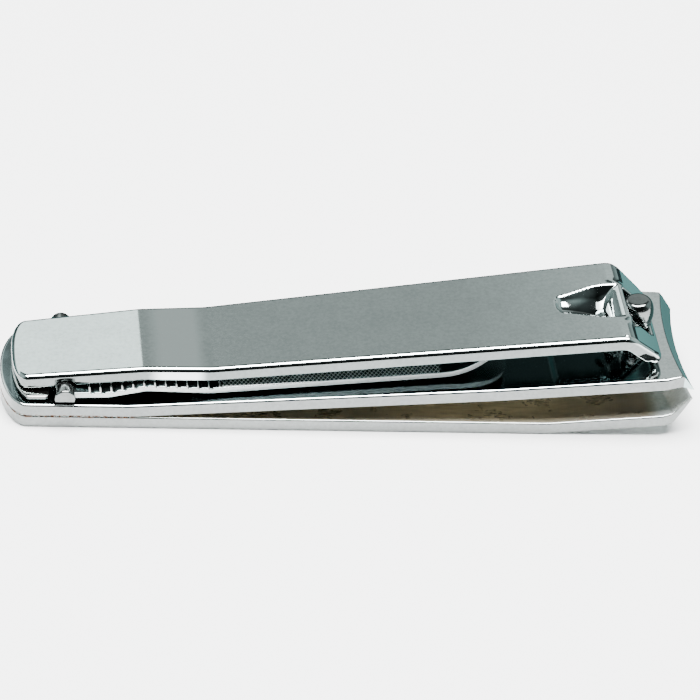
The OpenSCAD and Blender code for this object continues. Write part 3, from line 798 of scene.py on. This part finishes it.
def hatch(n, mm, facing, base, rough, metal):
    """Painted highlights along the coarse teeth's burrs, then on the crests of two sets of fine cuts across
    each other.
    """
    x, y, z = n.add("ShaderNodeSeparateXYZ", {0: mm}).outputs
    face = n.ramp(facing, 0.3, 0.9)
    phase = n.math("FRACT", n.math("DIVIDE", n.math("SUBTRACT", x, -22.65), tooth_pitch))
    burr_highlight = n.ramp(n.math("ABSOLUTE", n.math("SUBTRACT", phase, 0.25)), 0.03, 0.11, 1.0, 0.0)
    coarse = n.math("MULTIPLY", n.math("MULTIPLY", n.ramp(x, -23.2, -22.6), n.ramp(x, -10.6, -11.4)), face)
    burr_highlight = n.math("MULTIPLY", burr_highlight, coarse)
    marks = []
    for turn_y in (0.62, -0.62):
        along = n.math("ADD", x, n.math("MULTIPLY", y, turn_y))
        marks.append(n.math("SINE", n.math("MULTIPLY", along, 17.0)))
    fine = n.math("MULTIPLY", n.math("MULTIPLY", n.ramp(x, -11.4, -10.8), n.ramp(x, 8.2, 7.6)), face)
    crest_highlight = n.math("MULTIPLY", n.ramp(n.math("MAXIMUM", *marks), 0.2, 0.9), fine)
    # A dark blue-green face.
    base = n.mix(n.math("MULTIPLY", face, 0.85), base, (0.10, 0.15, 0.15, 1))
    # Painted highlights on the burrs and crests, on a less metallic surface.
    base = n.mix(n.math("MAXIMUM", burr_highlight, crest_highlight), base, (0.80, 0.84, 0.83, 1))
    metal = n.math("SUBTRACT", metal, n.math("MULTIPLY", n.math("MAXIMUM", burr_highlight, crest_highlight), 0.55))
    return base, n.math("MAXIMUM", rough, n.math("MULTIPLY", fine, 0.35)), metal


file_s = np.concatenate([np.arange(0.1, tooth_end + 0.2, 0.08), np.arange(tooth_end + 0.3, s_tip - 7, 0.5),
                         np.arange(s_tip - 7, s_tip, 0.25)])
file_grid = warped_grid(file_s, np.linspace(-5.2, 5.2, 25))
nail_file = plate("nail_file_strip", [file_loop()], file_grid, file_path.lift,
                  file_top, file_bottom, file_edge, file_edge, arc_steps=4)
# The file's side walls get a painted highlight: wall_shade 1.3 on a wall that is only 0.2 metallic.
paint(nail_file, chrome("file_steel", (0.55, 0.57, 0.57), roughness=0.16, haze=0.12, pits=0.3,
                        wall_shade=1.3, wall_metal=0.2, extra=hatch))
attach(nail_file, "file")
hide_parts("nail_file")

# ---- Pin: a steel wire of D section, fixed to the file; its middle is turned down for the retainer's hook.
# Its cut ends stand out past the arms on both sides.
pin_half, flat_depth, neck_radius, neck_half = 6.0, 0.25, 0.3, 1.7
arc_start = -math.asin(flat_depth / pin_radius)
arc = np.linspace(arc_start, math.pi - arc_start, 40)
section = np.column_stack([np.cos(arc), np.sin(arc)]) * pin_radius
chord = np.column_stack([np.linspace(section[-1, 0], section[0, 0], 14)[1:-1], np.full(12, -flat_depth)])
section = np.concatenate([section, chord])
neck = section / np.linalg.norm(section, axis=1)[:, None] * neck_radius
stations = [(-pin_half, 0.0), (-pin_half, 0.6), (-pin_half + 0.01, 0.88), (-pin_half + 0.05, 0.955),
            (-pin_half + 0.12, 0.99), (-pin_half + 0.2, 1.0), (-neck_half - 0.05, 1.0), (-neck_half, 0.97)]
rings = [section * scale for _, scale in stations] + [neck * 1.3, neck, neck, neck * 1.3]
places = [place for place, _ in stations] + [-neck_half, -neck_half + 0.1, neck_half - 0.1, neck_half]
rings += [section * scale for _, scale in reversed(stations)]
places += [-place for place, _ in reversed(stations)]
points = np.concatenate([
    np.column_stack([pin_x - length / 2 + r[:, 0], np.full(len(r), y), pin_z + r[:, 1]])
    for r, y in zip(rings, places)])
n_ring = len(section)
faces = []
for row in range(len(rings) - 1):
    a = row * n_ring + np.arange(n_ring)
    b = row * n_ring + (np.arange(n_ring) + 1) % n_ring
    faces += np.column_stack([a, b, b + n_ring, a + n_ring]).tolist()
pin = mesh_object("file_pin_wire", points, faces)
paint(pin, chrome("pin_steel", (0.66, 0.67, 0.66), roughness=0.12, haze=0.15, pits=0.8, scratch=(4, 1, 4)))
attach(pin, "file")
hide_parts("file_pin")

# ---- Retainer: a small spring plate staked under the lever's rear end; its hook holds the pin's neck.
# Only its rear edge shows, as a thin bright strip under the lever.
retainer_under, retainer_thickness, retainer_half = 2.52, 0.34, 5.2
rear_slope, seat_clearance = 0.11, 0.004
retainer_back, retainer_depth, retainer_end = 1.0, 1.5, 4.1
hook_half, hook_end = 1.5, 4.96
angles = np.linspace(-math.pi / 2, math.pi / 2, 41)
retainer_side = retainer_back + retainer_depth
retainer_rear = np.column_stack([retainer_side - retainer_depth * np.cos(angles),
                                 -retainer_half * np.sin(angles)])
near_side = np.array([[retainer_side, -retainer_half], [retainer_end, -retainer_half],
                      [retainer_end, -hook_half], [hook_end, -hook_half]])
tongue = rounded(np.concatenate([near_side, near_side[::-1] * [1, -1]]),
                 [0, 0.4, 0.25, 0.15, 0.15, 0.25, 0.4, 0], 6)
retainer_loop = resampled(np.concatenate([retainer_rear, tongue]), 0.2)


def retainer_top(x, y):
    """The plate's top, raised to the lever's underside over the staked middle."""
    pad = smooth(x, 1.7, 1.8) * (1 - smooth(x, 3.6, 3.7)) * (1 - smooth(np.abs(y), 2.15, 2.25))
    seat = pin_z + groove_rise + rear_slope * (x - pin_x) - seat_clearance
    return retainer_under + retainer_thickness + (seat - retainer_under - retainer_thickness) * pad


def retainer_bottom(x, y):
    """The plate's underside."""
    return 0 * x + retainer_under


def retainer_edge(x, y):
    """The plate's edge rounding."""
    return 0 * x + 0.08


retainer_grid = warped_grid(np.arange(1.1, 5, 0.09), np.linspace(-5, 5, 61))
retainer = plate("retainer_plate", [retainer_loop], retainer_grid, flat_lift, retainer_top, retainer_bottom,
                 retainer_edge, retainer_edge, arc_steps=3)
paint(retainer, chrome("retainer_steel", (0.74, 0.74, 0.72), roughness=0.1, haze=0.1))
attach(retainer, "lever")
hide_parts("file_retainer")

# ---- Studio: a pale table, a white overhead softbox, and cards that only the polished faces see.
# The back card is white on its left and a grey that brightens to the right, over a low dark card;
# teal cards lie on the table behind the clipper and in front of its blades.
floor_mesh = bpy.data.meshes.new("floor")
floor_mesh.from_pydata([(-2, -2, 0), (2, -2, 0), (2, 2, 0), (-2, 2, 0)], [], [(0, 1, 2, 3)])
floor = bpy.data.objects.new("floor", floor_mesh)
floor.location = (0, 0, -0.00002)
bpy.context.collection.objects.link(floor)
floor_material = bpy.data.materials.new("floor_paper")
floor_material.use_nodes = True
n = Nodes(floor_material.node_tree)
shader = n.add("ShaderNodeBsdfPrincipled", {"Base Color": (0.93, 0.93, 0.93, 1), "Roughness": 0.9,
                                            "Specular IOR Level": 0.1}).outputs[0]
n.add("ShaderNodeOutputMaterial", {"Surface": shader})
paint(floor, floor_material)


def card(name, corners, colour_of):
    """A card that only reflections see; its colour and strength come from its place."""
    mesh = bpy.data.meshes.new(name)
    mesh.from_pydata(corners, [], [(0, 1, 2, 3)])
    obj = bpy.data.objects.new(name, mesh)
    bpy.context.collection.objects.link(obj)
    material = bpy.data.materials.new(name)
    material.use_nodes = True
    nodes = Nodes(material.node_tree)
    place = nodes.add("ShaderNodeTexCoord").outputs["Object"]
    colour, strength = colour_of(nodes, nodes.add("ShaderNodeSeparateXYZ", {0: place}).outputs)
    glow = nodes.add("ShaderNodeEmission", {"Color": colour, "Strength": strength}).outputs[0]
    nodes.add("ShaderNodeOutputMaterial", {"Surface": glow})
    paint(obj, material)
    obj.visible_camera = obj.visible_diffuse = obj.visible_shadow = False


def back_card_colour(nodes, xyz):
    """White up to the edge that the rear plate reflects, then grey that brightens to the right."""
    grey = nodes.ramp(xyz[0], 0.008, 0.05, 0.50, 0.85)
    white = nodes.math("LESS_THAN", xyz[0], -0.0265)
    strength = nodes.math("ADD", nodes.math("MULTIPLY", white, 2.0), grey)
    return (0.90, 1.0, 0.985, 1), strength


def dark_card_colour(nodes, xyz):
    """An even dark blue-green."""
    return (0.5, 0.8, 0.85, 1), 0.06


def floor_card_colour(nodes, xyz):
    """The teal that the lever's flap and the blade's slope show, brighter away from the clipper."""
    return (0.34, 0.70, 0.69, 1), nodes.ramp(xyz[1], 0.01, 0.07, 0.45, 0.75)


def sheet(x_range, near, far):
    """The corners of a sheet that spans x_range, between the edges near and far, each given as (y, z)."""
    left, right = x_range
    return [(left, *near), (right, *near), (right, *far), (left, *far)]


card("back_card", sheet((-0.4, 0.4), (0.16, 0.085), (0.16, 0.15)), back_card_colour)
card("low_card", sheet((-0.4, 0.4), (0.075, 0.0), (0.085, 0.022)), dark_card_colour)
card("floor_card", sheet((-0.4, 0.4), (0.0085, 0.0002), (0.0745, 0.0002)), floor_card_colour)
card("front_floor_card", sheet((0.031, 0.4), (-0.004, 0.0002), (0.0085, 0.0002)), floor_card_colour)
world = bpy.data.worlds.new("studio")
bpy.context.scene.world = world
world.use_nodes = True
n = Nodes(world.node_tree)
direction = n.add("ShaderNodeTexCoord").outputs["Generated"]
dx, dy, dz = n.add("ShaderNodeSeparateXYZ", {0: direction}).outputs
sides = n.ramp(n.math("ABSOLUTE", dx), 0.35, 0.75, 0.10, 0.75)
camera_side = n.math("MULTIPLY", n.ramp(dy, -0.15, -0.5), n.ramp(dz, 0.85, 0.7))
level = n.math("MULTIPLY", sides, n.math("SUBTRACT", 1.0, n.math("MULTIPLY", camera_side, 0.85)))
glow = n.add("ShaderNodeBackground", {"Color": (0.80, 1.0, 0.99, 1), "Strength": level}).outputs[0]
n.add("ShaderNodeOutputWorld", {"Surface": glow})
softbox = bpy.data.lights.new("overhead", "AREA")
softbox.shape = "RECTANGLE"
softbox.size, softbox.size_y = 0.6, 0.36
softbox.energy = 26
overhead = bpy.data.objects.new("overhead", softbox)
overhead.location = (0.0, 0.0, 0.6)
bpy.context.collection.objects.link(overhead)
